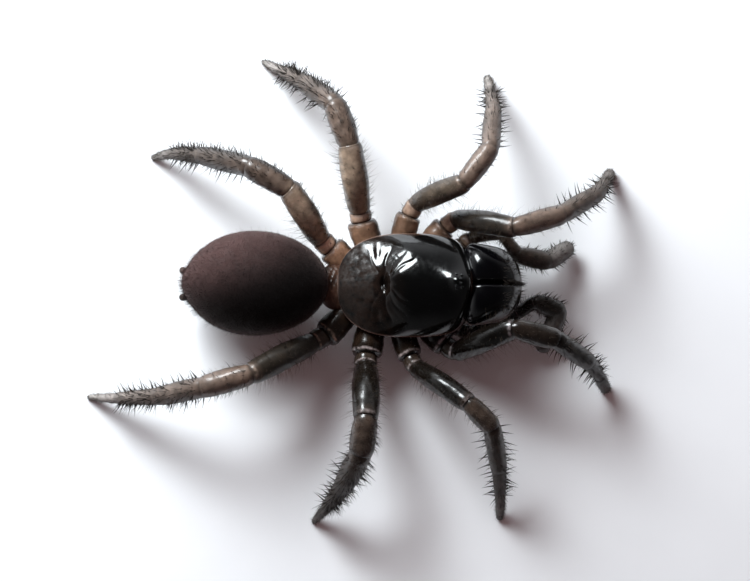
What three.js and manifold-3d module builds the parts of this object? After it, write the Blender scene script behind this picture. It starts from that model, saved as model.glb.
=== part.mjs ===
// A dry folding-door spider, set out on its leg tips with the head towards +X and its left side
// towards +Y. Millimetres, +Z up. The origin lies on the surface under the middle of its footprint.
import * as THREE from "three";
import { mergeVertices } from "three/addons/utils/BufferGeometryUtils.js";
import Module from "manifold-3d";

// Head shield: a low dome whose outline is squarer in front than behind, with a raised head on it.
const CARAPACE = {
  middleX: 2.82,
  halfLength: 3.47,
  halfWidth: 2.68,
  rimZ: 2.55,
  frontSquareness: 3.5,
  rearSquareness: 2.4,
  thoraxRise: 1.15,
  headRise: 1.0,
  headHalfWidth: 2.05,
  headStart: -0.35,
  headFull: 0.75,
  bellyDrop: 0.1,
  pit: { x: 1.76, depth: 0.35, length: 0.26, width: 0.5 },
  eyes: { x: 5.45, rise: 0.16, radius: 0.34 },
};
const STERNUM = { middle: [2.4, 0, 1.6], half: [2.5, 1.3, 0.8] };
const ABDOMEN = {
  middle: [-4.85, 0.08, 2.86],
  half: [3.75, 2.68, 2.45],
  front: { swell: 1.95, point: 1.95 },
  rear: { swell: 2.2, point: 1.6 },
};
const PEDICEL = { from: [-1.18, 0, 2.15], to: [0, 0, 2.08], radius: 0.35 };

// Jaw bases: two stout lobes that lean forwards and down from the front of the shield.
const JAW = {
  middleX: 7.42,
  middleZ: 2.86,
  innerY: 0.03,
  half: [1.44, 0.98, 1.34],
  droop: 0.42,
  narrowing: 0.08,
  underNarrowing: 0.34,
  frontSquareness: 2.5,
  rearSquareness: 6,
  shieldGap: 0.05,
};
const FANG = {
  points: [[8.2, 0.62, 1.5], [7.9, 0.56, 0.65], [6.75, 0.5, 0.9]],
  middleY: 0,
  root: 0.24,
  tip: 0.03,
};
const SPINNERET = {
  points: [[-7.4, 0.42, 0.97], [-8.1, 0.55, 1.33], [-8.7, 0.72, 1.92]],
  middleY: 0.15,
  root: 0.27,
  tip: 0.1,
};

// Leg segments from the body outwards: the radius where each starts, at its middle and where it ends.
const LEG_SEGMENTS = [
  { name: "coxa", radii: [0.5, 0.7, 0.72] },
  { name: "trochanter", radii: [0.52, 0.54, 0.53] },
  { name: "femur", radii: [0.52, 0.65, 0.57] },
  { name: "patella", radii: [0.52, 0.61, 0.56] },
  { name: "tibia", radii: [0.52, 0.54, 0.47] },
  { name: "metatarsus", radii: [0.43, 0.38, 0.3] },
  { name: "tarsus", radii: [0.29, 0.25, 0.15] },
];
const PALP_SEGMENTS = [
  { name: "coxa", radii: [0.42, 0.5, 0.46] },
  { name: "trochanter", radii: [0.4, 0.42, 0.4] },
  { name: "femur", radii: [0.36, 0.34, 0.32] },
  { name: "patella", radii: [0.32, 0.33, 0.38] },
  { name: "tibia", radii: [0.42, 0.5, 0.46] },
  { name: "tarsus", radii: [0.45, 0.47, 0.37] },
];
const SHORT_SEGMENTS = ["coxa", "trochanter"];

// Each limb's joints, from its root under the shield to its tip, and its stoutness.
const LEGS = {
  leg_1_left: {
    stoutness: 0.92,
    joints: [
      [3.45, 1.55, 1.45], [4.9, 3.1, 1.7], [5.45, 3.5, 1.95], [8.4, 2.75, 4.5],
      [10.85, 3.45, 4.3], [12.75, 4.75, 2.6], [13.3, 5.6, 1.1], [13.6, 6.2, -0.02],
    ],
  },
  leg_2_left: {
    stoutness: 0.9,
    joints: [
      [2.35, 1.5, 1.45], [3.05, 3.7, 1.7], [3.4, 4.3, 1.95], [5.85, 5.05, 4.4],
      [7.2, 6.85, 4.2], [7.4, 9.15, 2.5], [7.3, 10.35, 1.1], [7.15, 11.25, -0.02],
    ],
  },
  leg_3_left: {
    stoutness: 1.06,
    joints: [
      [1.2, 1.45, 1.45], [0.6, 3.4, 1.7], [0.5, 3.95, 1.95], [0, 7.05, 4.3],
      [-0.75, 9.15, 4.1], [-2.35, 10.55, 2.4], [-3.6, 11.4, 1], [-4.6, 12.05, -0.02],
    ],
  },
  leg_4_left: {
    stoutness: 1.03,
    joints: [
      [0.14, 1.05, 1.45], [-1, 2, 1.7], [-1.5, 2.45, 1.95], [-3.1, 4.75, 4.6],
      [-5.1, 5.9, 4.4], [-7.55, 6.7, 2.6], [-9.25, 7.05, 1.05], [-10.35, 6.95, -0.02],
    ],
  },
  leg_1_right: {
    stoutness: 0.95,
    joints: [
      [3.45, -1.5, 1.45], [4.9, -3, 1.7], [5.5, -3.4, 1.95], [8.35, -2.4, 4.5],
      [10.5, -2.95, 4.3], [12.25, -3.95, 2.6], [12.9, -4.6, 1.1], [13.3, -5.25, -0.02],
    ],
  },
  leg_2_right: {
    stoutness: 0.89,
    joints: [
      [2.4, -1.5, 1.45], [3.1, -3.6, 1.7], [3.4, -4.2, 1.95], [6.05, -6.2, 4.4],
      [7.25, -7.4, 4.2], [7.65, -9.45, 2.4], [7.75, -10.95, 1], [7.75, -11.9, -0.02],
    ],
  },
  leg_3_right: {
    stoutness: 1.1,
    joints: [
      [1.2, -1.5, 1.45], [0.85, -3.5, 1.7], [0.82, -4.15, 1.95], [0.85, -6.95, 4.7],
      [0.6, -8.75, 4.5], [-0.3, -10.3, 2.8], [-1.15, -11.3, 1.15], [-1.9, -12.05, -0.02],
    ],
  },
  leg_4_right: {
    stoutness: 1.02,
    joints: [
      [0.2, -1, 1.45], [-1.25, -2.5, 1.7], [-1.9, -2.9, 1.95], [-5, -4.7, 4.2],
      [-7.45, -5.35, 3.9], [-9.8, -5.7, 2.3], [-12, -5.7, 1], [-13.6, -5.55, -0.02],
    ],
  },
};
const PALPS = {
  pedipalp_left: {
    stoutness: 1,
    joints: [
      [4.6, 1.05, 1.45], [5.84, 2.25, 1.55], [6.2, 2.55, 1.65],
      [7.85, 2.76, 1.95], [8.65, 1.64, 2], [10.25, 1.35, 1.4], [11.5, 2.3, 0.45],
    ],
  },
  pedipalp_right: {
    stoutness: 1,
    joints: [
      [4.6, -1, 1.45], [5.73, -2.2, 1.45], [6.2, -2.4, 1.45],
      [8.7, -1.35, 1.35], [9.5, -0.75, 1.6], [10.85, -1.2, 1.4], [9.85, -3.25, 0.45],
    ],
  },
};

// Spines: two rows along each side of the outer segments, leaning towards the tip of the limb.
const SPINE_RADIUS = 0.055;
const SPINE_SIDES = 3;
const SPINE_LEAN = THREE.MathUtils.degToRad(30);
const SPINE_ANGLES = [-12, 192].map(THREE.MathUtils.degToRad);
const LEG_SPINES = {
  tibia: { length: 0.8, at: [0.35, 0.75] },
  metatarsus: { length: 0.66, at: [0.15, 0.45, 0.75] },
  tarsus: { length: 0.4, at: [0.15, 0.5] },
};
const PALP_SPINES = {
  tibia: { length: 0.5, at: [0.6] },
  tarsus: { length: 0.45, at: [0.15, 0.45] },
};

// How finely the solids are faceted, and how blunt a limb segment's ends are.
const LIMB_SIDES = 7;
const LIMB_ROWS = 5;
const SHORT_ROWS = 4;
const END_BLUNTNESS = 10;
const JOINT_OVERLAP = 0.45;
const FLOOR_CUT = 60;
const SEAM_TOLERANCE = 0.008;

const UP = new THREE.Vector3(0, 0, 1);
const wasm = await Module();
wasm.setup();

const finish = {
  shield: new THREE.MeshStandardMaterial({ color: 0x15110e, roughness: 0.15 }),
  belly: new THREE.MeshStandardMaterial({ color: 0x3a2a20, roughness: 0.45 }),
  velvet: new THREE.MeshStandardMaterial({ color: 0x2a1c17, roughness: 0.85 }),
  jaw: new THREE.MeshStandardMaterial({ color: 0x08070a, roughness: 0.1 }),
  leg: new THREE.MeshStandardMaterial({ color: 0x4a3b2c, roughness: 0.35 }),
};

// A closed three.js geometry as a solid that can be joined and cut.
function solidOf(geometry) {
  geometry.deleteAttribute("normal");
  geometry.deleteAttribute("uv");
  const merged = mergeVertices(geometry);
  const vertProperties = merged.getAttribute("position").array;
  const triVerts = new Uint32Array(merged.index.array);
  return new wasm.Manifold(new wasm.Mesh({ numProp: 3, vertProperties, triVerts }));
}

// A solid as a three.js geometry.
function geometryOf(solid) {
  const { vertProperties, triVerts } = solid.getMesh();
  return new THREE.BufferGeometry()
    .setAttribute("position", new THREE.BufferAttribute(vertProperties, 3))
    .setIndex(new THREE.BufferAttribute(triVerts, 1));
}

// A unit sphere whose poles lie along X, with each vertex carried to place(c, across, above): c runs
// from 1 at the front pole to -1 at the rear one, and across and above give the way round the ring.
function pulledSphere(columns, rows, place) {
  const sphere = new THREE.SphereGeometry(1, columns, rows);
  const position = sphere.getAttribute("position");
  for (let i = 0; i < position.count; i++) {
    const c = position.getY(i);
    const ring = Math.hypot(position.getX(i), position.getZ(i)) || 1;
    const to = place(c, position.getZ(i) / ring, position.getX(i) / ring);
    position.setXYZ(i, ...to);
  }
  return sphere;
}

// The share of a superellipse's width that is left at c along its length.
const superellipse = (c, n) => Math.pow(Math.max(0, 1 - Math.pow(Math.abs(c), n)), 1 / n);

// A round bar along a curve, with blunt ends: its radius at share t of the way is radiusAt(t).
function barAlong(curve, radiusAt, sides, rows) {
  return pulledSphere(sides, rows, (c, across, above) => {
    const t = Math.acos(THREE.MathUtils.clamp(c, -1, 1)) / Math.PI;
    const share = (1 - Math.cos(Math.PI * t)) / 2;
    const radius = radiusAt(share) * Math.sqrt(1 - Math.pow(Math.abs(2 * share - 1), END_BLUNTNESS));
    const { side, back } = frameOf(curve.getTangent(share));
    const at = curve.getPoint(share);
    return at.addScaledVector(side, -across * radius).addScaledVector(back, above * radius);
  });
}

// The two directions across a limb that runs along ahead: level to its left, and up its back.
function frameOf(ahead) {
  const side = new THREE.Vector3().crossVectors(UP, ahead).normalize();
  return { side, back: new THREE.Vector3().crossVectors(ahead, side) };
}

// The parabola through a segment's three radii.
const radiusAlong = ([start, middle, end], t) =>
  start * (1 - t) * (1 - 2 * t) + middle * 4 * t * (1 - t) + end * t * (2 * t - 1);

// One limb: its segments, each a bar from joint to joint, with its spines, in one closed solid.
function limb({ joints, stoutness }, segments, spines) {
  const points = joints.map((joint) => new THREE.Vector3(...joint));
  const pieces = segments.flatMap((segment, i) => {
    const [from, to] = [points[i], points[i + 1]];
    const radii = segment.radii.map((radius) => radius * stoutness);
    return [
      segmentBar(from, to, radii, SHORT_SEGMENTS.includes(segment.name) ? SHORT_ROWS : LIMB_ROWS),
      ...segmentSpines(from, to, radii, spines[segment.name]),
    ];
  });
  const joined = wasm.Manifold.union(pieces.map(solidOf));
  return geometryOf(joined.subtract(solidOf(floorBlock())).simplify(SEAM_TOLERANCE));
}

// A segment's bar, run past both joints so that it bites into its neighbours.
function segmentBar(from, to, radii, rows) {
  const ahead = new THREE.Vector3().subVectors(to, from).normalize();
  const line = new THREE.LineCurve3(
    from.clone().addScaledVector(ahead, -JOINT_OVERLAP * radii[0]),
    to.clone().addScaledVector(ahead, JOINT_OVERLAP * radii[2]),
  );
  return barAlong(line, (t) => radiusAlong(radii, t), LIMB_SIDES, rows);
}

// The spines on both sides of a segment, as slim cones rooted inside it.
function segmentSpines(from, to, radii, spine) {
  if (!spine) return [];
  const ahead = new THREE.Vector3().subVectors(to, from).normalize();
  const { side, back } = frameOf(ahead);
  return spine.at.flatMap((t) =>
    SPINE_ANGLES.map((angle) => {
      const out = side.clone().multiplyScalar(Math.cos(angle)).addScaledVector(back, Math.sin(angle));
      const way = out.clone().multiplyScalar(Math.cos(SPINE_LEAN));
      way.addScaledVector(ahead, Math.sin(SPINE_LEAN));
      const root = from.clone().lerp(to, t).addScaledVector(out, 0.7 * radiusAlong(radii, t));
      return new THREE.ConeGeometry(SPINE_RADIUS, spine.length, SPINE_SIDES)
        .translate(0, spine.length / 2, 0)
        .applyQuaternion(new THREE.Quaternion().setFromUnitVectors(new THREE.Vector3(0, 1, 0), way))
        .translate(root.x, root.y, root.z);
    }),
  );
}

// A block that fills the space under the surface, which cuts a flat sole on each leg tip.
const floorBlock = () =>
  new THREE.BoxGeometry(FLOOR_CUT, FLOOR_CUT, FLOOR_CUT).translate(0, 0, -FLOOR_CUT / 2);

// Head shield, with its low thorax, raised head, eye mound and the pit where the muscles anchor.
function carapace() {
  const { middleX, halfLength, halfWidth, rimZ, pit, eyes } = CARAPACE;
  return pulledSphere(30, 14, (c, across, above) => {
    const squareness = c > 0 ? CARAPACE.frontSquareness : CARAPACE.rearSquareness;
    const share = superellipse(c, squareness);
    const x = middleX + halfLength * c;
    const y = halfWidth * share * across;
    if (above < 0) return [x, y, rimZ + CARAPACE.bellyDrop * share * above];
    const headX = THREE.MathUtils.smoothstep(c, CARAPACE.headStart, CARAPACE.headFull);
    const headY = Math.max(0, 1 - (y / CARAPACE.headHalfWidth) ** 2) ** 1.5;
    const mound = Math.exp(-((x - eyes.x) ** 2 + y ** 2) / eyes.radius ** 2);
    const hollow = Math.exp(-(((x - pit.x) / pit.length) ** 2) - (y / pit.width) ** 2);
    const head = CARAPACE.headRise * headX * headY * Math.sqrt(share);
    const relief = head + eyes.rise * mound - pit.depth * hollow;
    return [x, y, rimZ + above * (CARAPACE.thoraxRise * share + relief)];
  });
}

// The plate under the body that the legs spread from, which fills up to the shield.
const sternum = () =>
  pulledSphere(16, 8, (c, across, above) => {
    const [x, y, z] = STERNUM.middle;
    const [length, width, height] = STERNUM.half;
    const share = superellipse(c, 2.4);
    return [x + length * c, y + width * share * across, z + height * superellipse(1 - share, 2.4) * above];
  });

// The egg-shaped rear body.
const abdomen = () =>
  pulledSphere(26, 14, (c, across, above) => {
    const [x, y, z] = ABDOMEN.middle;
    const [length, width, height] = ABDOMEN.half;
    const { swell, point } = c > 0 ? ABDOMEN.front : ABDOMEN.rear;
    const share = Math.pow(Math.max(0, 1 - Math.pow(Math.abs(c), swell)), 1 / point);
    return [x + length * c, y + width * share * across, z + height * share * above];
  });

// One jaw base, flat on its inner side and trimmed where it meets the shield: side is 1 on the left
// and -1 on the right.
function jaw(side, shield) {
  const lobe = pulledSphere(16, 12, (c, across, above) => {
    const [length, width, height] = JAW.half;
    const squareness = c > 0 ? JAW.frontSquareness : JAW.rearSquareness;
    const share = superellipse(c, squareness) * (1 - JAW.narrowing * c);
    const lower = 1 - JAW.underNarrowing * Math.max(0, -above);
    const x = JAW.middleX + length * c;
    const y = side * (JAW.innerY + width * share) + width * share * across * lower;
    return [x, y, JAW.middleZ - JAW.droop * c + height * share * above];
  });
  return geometryOf(solidOf(lobe).subtract(shield.translate([JAW.shieldGap, 0, 0])));
}

// A tapering finger along three points, mirrored to the side asked for.
function finger({ points, middleY, root, tip }, side, sides, rows) {
  const placed = points.map(([x, y, z]) => new THREE.Vector3(x, middleY + side * y, z));
  const curve = new THREE.QuadraticBezierCurve3(...placed);
  return barAlong(curve, (t) => root + (tip - root) * t, sides, rows);
}

const pedicel = () => {
  const line = new THREE.LineCurve3(new THREE.Vector3(...PEDICEL.from), new THREE.Vector3(...PEDICEL.to));
  return barAlong(line, () => PEDICEL.radius, 8, 5);
};

const spider = new THREE.Group();
function addPiece(name, geometry, material) {
  const mesh = new THREE.Mesh(geometry, material);
  mesh.name = name;
  spider.add(mesh);
}

const shield = carapace();
const shieldSolid = solidOf(shield.clone());
addPiece("carapace", shield, finish.shield);
addPiece("sternum", sternum(), finish.belly);
addPiece("pedicel", pedicel(), finish.belly);
addPiece("abdomen", abdomen(), finish.velvet);
for (const [name, side] of [["left", 1], ["right", -1]]) {
  addPiece(`chelicera_${name}`, jaw(side, shieldSolid), finish.jaw);
  addPiece(`fang_${name}`, finger(FANG, side, 8, 8), finish.jaw);
  addPiece(`spinneret_${name}`, finger(SPINNERET, side, 8, 6), finish.velvet);
}
for (const [name, pose] of Object.entries(LEGS)) {
  addPiece(name, limb(pose, LEG_SEGMENTS, LEG_SPINES), finish.leg);
}
for (const [name, pose] of Object.entries(PALPS)) {
  addPiece(name, limb(pose, PALP_SEGMENTS, PALP_SPINES), finish.leg);
}

export default spider;
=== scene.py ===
# %% [markdown]
# # A dry folding-door spider
# A dried spider stands on its eight leg tips: a shiny dark head shield, a velvety egg of an abdomen, and
# legs with pale joint rims, dark spines and fine hair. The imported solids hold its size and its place. This
# lesson loads them first, then lays a finer skin over each one, so both models share one frame.

import math
from types import SimpleNamespace as Sizes

import bpy
import numpy as np
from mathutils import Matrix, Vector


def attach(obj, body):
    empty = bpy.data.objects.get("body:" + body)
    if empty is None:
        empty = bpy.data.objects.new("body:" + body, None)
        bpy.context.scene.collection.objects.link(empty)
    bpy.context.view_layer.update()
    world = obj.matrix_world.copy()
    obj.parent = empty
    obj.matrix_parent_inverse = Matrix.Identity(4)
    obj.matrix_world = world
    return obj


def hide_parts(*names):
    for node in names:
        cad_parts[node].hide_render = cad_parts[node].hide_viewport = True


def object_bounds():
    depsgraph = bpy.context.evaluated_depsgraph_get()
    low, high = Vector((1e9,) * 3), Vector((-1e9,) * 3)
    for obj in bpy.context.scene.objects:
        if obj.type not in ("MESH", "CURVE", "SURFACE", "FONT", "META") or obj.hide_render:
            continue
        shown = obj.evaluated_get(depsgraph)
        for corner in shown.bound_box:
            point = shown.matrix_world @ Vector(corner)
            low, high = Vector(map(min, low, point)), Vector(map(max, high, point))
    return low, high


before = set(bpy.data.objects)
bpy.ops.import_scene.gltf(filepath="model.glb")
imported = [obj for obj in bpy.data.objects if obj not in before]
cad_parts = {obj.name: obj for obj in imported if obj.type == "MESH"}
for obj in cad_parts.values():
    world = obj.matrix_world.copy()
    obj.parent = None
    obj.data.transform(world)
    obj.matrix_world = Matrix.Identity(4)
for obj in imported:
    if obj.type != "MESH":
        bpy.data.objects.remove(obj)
solid_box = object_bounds()
MM = 0.001
chance = np.random.default_rng(11)
print(len(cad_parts), "solids loaded, box", solid_box)

# %% [markdown]
# The picture looks almost straight down, leaning a little from the spider's right side. A long lens far away
# keeps the legs nearest to the camera from looking too large. The lens follows from the width that the
# picture has to take in at the floor.

# %% Camera
CAMERA_ELEVATION = math.radians(84)
CAMERA_DISTANCE = 200 * MM
CAMERA_AIM = np.array([1.3, 0, 0]) * MM
VIEW_WIDTH = 39 * MM
SENSOR_WIDTH = 36

camera_lens = bpy.data.cameras.new("camera")
camera_lens.sensor_width = SENSOR_WIDTH
camera_lens.lens = SENSOR_WIDTH * CAMERA_DISTANCE / VIEW_WIDTH
camera_lens.clip_start = 10 * MM
camera = bpy.data.objects.new("camera", camera_lens)
camera_way = np.array([0, -math.cos(CAMERA_ELEVATION), math.sin(CAMERA_ELEVATION)])
camera.location = CAMERA_AIM + CAMERA_DISTANCE * camera_way
camera.rotation_euler = (math.pi / 2 - CAMERA_ELEVATION, 0, 0)
bpy.context.scene.collection.objects.link(camera)
bpy.context.scene.camera = camera
print("camera lens", round(camera_lens.lens, 1), "mm")

# %% [markdown]
# Every finish below is a tree of shader nodes. Building trees by hand in code is wordy, so small helpers come
# first: one fills a node's sockets, one places a node, and the others make the few kinds of node that return.

# %% Node helpers
def fill(tree, node, sockets):
    """Give each named socket of a node a plain value or another node's output."""
    for key, value in sockets.items():
        if isinstance(value, bpy.types.NodeSocket):
            tree.links.new(value, node.inputs[key])
        else:
            node.inputs[key].default_value = value


def place(tree, kind, sockets, **options):
    """Add one node, with its own options and its filled sockets."""
    made = tree.nodes.new(kind)
    for option, value in options.items():
        setattr(made, option, value)
    fill(tree, made, sockets)
    return made


def reckon(tree, operation, *values):
    """The result of one calculation, over values in the order that the operation takes them."""
    return place(tree, "ShaderNodeMath", dict(enumerate(values)), operation=operation).outputs[0]


def carried(tree, value, ends, way="LINEAR"):
    """A value carried from one range to another: ends gives the ends that aren't 0 and 1."""
    return place(tree, "ShaderNodeMapRange", {"Value": value, **ends}, interpolation_type=way).outputs[0]


def colour_ramp(tree, share, stops):
    """A colour ramp over share, with (position, (red, green, blue)) stops."""
    made = place(tree, "ShaderNodeValToRGB", {"Fac": share})
    elements = made.color_ramp.elements
    while len(elements) < len(stops):
        elements.new(1)
    for element, (position, colour) in zip(elements, stops):
        element.position = position
        element.color = (*colour, 1)
    return made.outputs["Color"]


def blend_colours(tree, share, first, second, way="MIX"):
    """A mix of two colours by share; a plain colour is given as (red, green, blue)."""
    ends = [(*end, 1) if isinstance(end, tuple) else end for end in (first, second)]
    sockets = {0: share, 6: ends[0], 7: ends[1]}
    return place(tree, "ShaderNodeMix", sockets, data_type="RGBA", blend_type=way).outputs[2]


def mark(tree, name):
    """The value of one of the piece's own marks, stored on its points."""
    return place(tree, "ShaderNodeAttribute", {}, attribute_name=name).outputs["Fac"]


def open_group(name, inputs, output, kind):
    """A new node group with float inputs and one output, and its two end nodes."""
    tree = bpy.data.node_groups.new(name, "ShaderNodeTree")
    for label in inputs:
        tree.interface.new_socket(label, in_out="INPUT", socket_type="NodeSocketFloat")
    tree.interface.new_socket(output, in_out="OUTPUT", socket_type=kind)
    return tree, tree.nodes.new("NodeGroupInput").outputs, tree.nodes.new("NodeGroupOutput").inputs


def open_finish(name):
    """A new material: its tree and its shader."""
    finish = bpy.data.materials.new(name)
    finish.use_nodes = True
    return finish, finish.node_tree, finish.node_tree.nodes["Principled BSDF"]


print("node helpers ready")

# %% [markdown]
# A glossy black shield shows the room more than its own colour. A small bright window at the upper left only
# shows in the gloss, as crisp glints. A key lamp in the same place gives the shadows, and a large soft panel
# the rest of the light. The sky has two sides as well: an even fill, and a dim gleam that only glossy skin
# mirrors. The lamps are a little cool and the fill is rosy, which tints the deepest shade.

# %% Light
WINDOW_WAY = np.array([-0.41, 0.7, 0.585])
WINDOW_DISTANCE = 80 * MM
PANEL_WAY = np.array([-0.47, 0.72, 0.51])
PANEL_DISTANCE = 110 * MM
LAMP_TINT = (0.94, 1.0, 1.03)
SKY_FILL = (0.157, 0.103, 0.104)
SKY_FAR = (0.05, 0.05, 0.052)
SKY_BESIDE = (0.25, 0.25, 0.255)
SKY_WINDOW = (0.65, 0.67, 0.7)
SKY_OVERHEAD = (0.015, 0.015, 0.016)
SKY_SIDES = {"From Min": -0.8, "From Max": 0.8}
SKY_FADE = {"From Min": 0.1, "From Max": 0.75}


def add_lamp(name, spot, size, watts, mirrored):
    """A square lamp that faces the spider from its place and is either mirrored or lights the colours."""
    lamp = bpy.data.lights.new(name, "AREA")
    lamp.size = size
    lamp.energy = watts
    lamp.color = LAMP_TINT
    lamp_object = bpy.data.objects.new(name, lamp)
    lamp_object.location = spot
    lamp_object.rotation_euler = lamp_object.location.to_track_quat("Z", "Y").to_euler()
    lamp_object.visible_glossy = mirrored
    lamp_object.visible_diffuse = not mirrored
    bpy.context.scene.collection.objects.link(lamp_object)
    print(name, "lamp", watts, "W")


add_lamp("window", WINDOW_DISTANCE * WINDOW_WAY, 28 * MM, 0.055, True)
add_lamp("key", WINDOW_DISTANCE * WINDOW_WAY, 26 * MM, 0.0455, False)
add_lamp("panel", PANEL_DISTANCE * PANEL_WAY, 80 * MM, 0.247, False)

sky = bpy.data.worlds.new("sky")
sky.use_nodes = True
tree = sky.node_tree
sky_way = place(tree, "ShaderNodeTexCoord", {}).outputs["Generated"]
sky_sockets = {0: sky_way, 1: (WINDOW_WAY[0], WINDOW_WAY[1], 0)}
sky_facing = place(tree, "ShaderNodeVectorMath", sky_sockets, operation="DOT_PRODUCT").outputs["Value"]
sky_share = carried(tree, sky_facing, SKY_SIDES)
sky_round = colour_ramp(tree, sky_share, [(0, SKY_FAR), (0.5, SKY_BESIDE), (1, SKY_WINDOW)])
sky_height = place(tree, "ShaderNodeSeparateXYZ", {0: sky_way}).outputs["Z"]
sky_fade = carried(tree, sky_height, SKY_FADE, "SMOOTHSTEP")
sky_gleam = blend_colours(tree, sky_fade, sky_round, SKY_OVERHEAD)
sky_mirrored = place(tree, "ShaderNodeLightPath", {}).outputs["Is Glossy Ray"]
sky_colour = blend_colours(tree, sky_mirrored, SKY_FILL, sky_gleam)
fill(tree, tree.nodes["Background"], {"Color": sky_colour})
bpy.context.scene.world = sky
bpy.context.scene.view_settings.view_transform = "Standard"
print("sky from", SKY_FAR[0], "to", SKY_WINDOW[0])

# %% [markdown]
# Dried chitin is never one even colour, and under a lens its skin is full of fine pores. Both effects return
# on nearly every piece, so each is a node group: blotches give a value between two limits, and pores give a
# bumped normal. Both read Object coordinates, which are metres here, so a scale of 1000 is about 1 mm.

# %% Shared effects
PORE_DEPTH = 0.03 * MM


def noise(tree, sockets):
    """Noise over the piece's own coordinates."""
    spot = place(tree, "ShaderNodeTexCoord", {}).outputs["Object"]
    return place(tree, "ShaderNodeTexNoise", {"Vector": spot, **sockets}).outputs["Fac"]


blotch_sockets = ("Scale", "Low", "High")
blotch_group, blotch_in, blotch_out = open_group("blotches", blotch_sockets, "Value", "NodeSocketFloat")
blotch_noise = noise(blotch_group, {"Scale": blotch_in["Scale"], "Detail": 4, "Roughness": 0.62})
blotch_value = carried(blotch_group, blotch_noise, {
    "From Min": 0.32, "From Max": 0.68, "To Min": blotch_in["Low"], "To Max": blotch_in["High"],
})
blotch_group.links.new(blotch_value, blotch_out["Value"])

pore_group, pore_in, pore_out = open_group("pores", ("Scale", "Strength"), "Normal", "NodeSocketVector")
pore_noise = noise(pore_group, {"Scale": pore_in["Scale"], "Detail": 3})
pore_bump = place(pore_group, "ShaderNodeBump", {
    "Height": pore_noise, "Strength": pore_in["Strength"], "Distance": PORE_DEPTH,
})
pore_group.links.new(pore_bump.outputs["Normal"], pore_out["Normal"])


def blotches(tree, scale, low, high):
    """A value that wanders between low and high."""
    sockets = {"Scale": scale, "Low": low, "High": high}
    return place(tree, "ShaderNodeGroup", sockets, node_tree=blotch_group).outputs["Value"]


def pores(tree, scale, strength):
    """A normal that is roughened by fine pores."""
    sockets = {"Scale": scale, "Strength": strength}
    return place(tree, "ShaderNodeGroup", sockets, node_tree=pore_group).outputs["Normal"]


print("groups:", blotch_group.name, pore_group.name)

# %% [markdown]
# The floor is a plain sheet of off-white card. It only carries the shadow, so it is one large square with a
# faint cloudiness, and it isn't part of the spider.

# %% Floor
FLOOR_HALF = 500 * MM
CARD_SHADE = (0.855, 0.87, 0.89)
CARD_WHITE = (0.895, 0.905, 0.925)

card, tree, shader = open_finish("card")
card_colour = colour_ramp(tree, blotches(tree, 60, 0.0, 1.0), [(0, CARD_SHADE), (1, CARD_WHITE)])
fill(tree, shader, {"Base Color": card_colour, "Roughness": 0.9, "Specular IOR Level": 0.1})
floor_mesh = bpy.data.meshes.new("floor")
floor_corners = [(x * FLOOR_HALF, y * FLOOR_HALF, 0) for x, y in ((-1, -1), (1, -1), (1, 1), (-1, 1))]
floor_mesh.from_pydata(floor_corners, [], [(0, 1, 2, 3)])
floor_mesh.materials.append(card)
floor = bpy.data.objects.new("floor", floor_mesh)
bpy.context.scene.collection.objects.link(floor)
print("floor", 2 * FLOOR_HALF, "m wide")

# %% [markdown]
# Every piece of the spider is a closed skin: rings of points that follow one another along the piece, with a
# pole at each end. Numpy works out the faces for the whole grid at once. A shell is kept as points, faces and
# marks until it is turned into a mesh, so hundreds of spines can be joined before Blender sees them.

# %% Shells and pieces
def ring_faces(rows, columns):
    """For a grid of rings: each point's number, its neighbour's number round the ring, and the quads between
    the rings."""
    index = np.arange(rows * columns).reshape(rows, columns)
    turned = np.roll(index, -1, axis=1)
    quads = np.stack([index[:-1], turned[:-1], turned[1:], index[1:]], axis=-1).reshape(-1, 4)
    return index, turned, quads


def closed_shell(rings, marks):
    """A skin over a grid of points: quads from each ring to the next and round to the ring's start, and a
    fan of triangles from the first and the last ring to a pole at its middle."""
    rows, columns = rings.shape[:2]
    index, turned, quads = ring_faces(rows, columns)
    rear_pole = np.full(columns, rows * columns)
    fans = [
        np.stack([rear_pole, turned[0], index[0]], axis=-1),
        np.stack([rear_pole + 1, index[-1], turned[-1]], axis=-1),
    ]
    return {
        "points": np.concatenate([rings.reshape(-1, 3), rings[:1].mean(axis=1), rings[-1:].mean(axis=1)]),
        "quads": quads,
        "triangles": np.concatenate(fans),
        "marks": {name: np.append(grid, [grid[0].mean(), grid[-1].mean()]) for name, grid in marks.items()},
    }


def joined(shells):
    """Several shells as one: each shell's faces count on from the points of the shells before it."""
    starts = np.cumsum([0] + [len(shell["points"]) for shell in shells[:-1]])
    faces = {kind: np.concatenate([shell[kind] + start for shell, start in zip(shells, starts)])
             for kind in ("quads", "triangles")}
    marks = {name: np.concatenate([shell["marks"][name] for shell in shells]) for name in shells[0]["marks"]}
    return {"points": np.concatenate([shell["points"] for shell in shells]), **faces, "marks": marks}


def add_piece(name, shell, finish, node=None):
    """A shell as a mesh object that rides on the spider, and stands for a solid where it has one."""
    mesh = bpy.data.meshes.new(name)
    faces = shell["quads"].tolist() + shell["triangles"].tolist()
    mesh.from_pydata((shell["points"] * MM).tolist(), [], faces, shade_flat=False)
    for label, values in shell["marks"].items():
        layer = mesh.attributes.new(label, "FLOAT", "POINT")
        layer.data.foreach_set("value", values.astype(np.float32))
    mesh.validate()
    mesh.materials.append(finish)
    piece = bpy.data.objects.new(name, mesh)
    bpy.context.scene.collection.objects.link(piece)
    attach(piece, "root")
    if node:
        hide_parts(node)
    print(name, "has", sum(len(face) - 2 for face in faces), "triangles")


def unit(vectors):
    """Each vector at length one."""
    return vectors / np.linalg.norm(vectors, axis=-1, keepdims=True)


def superellipse(share, power):
    """Half width at a share of the way from the middle (0) to the end (1) of a rounded outline."""
    return np.maximum(1 - np.abs(share) ** power, 0) ** (1 / power)


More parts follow.
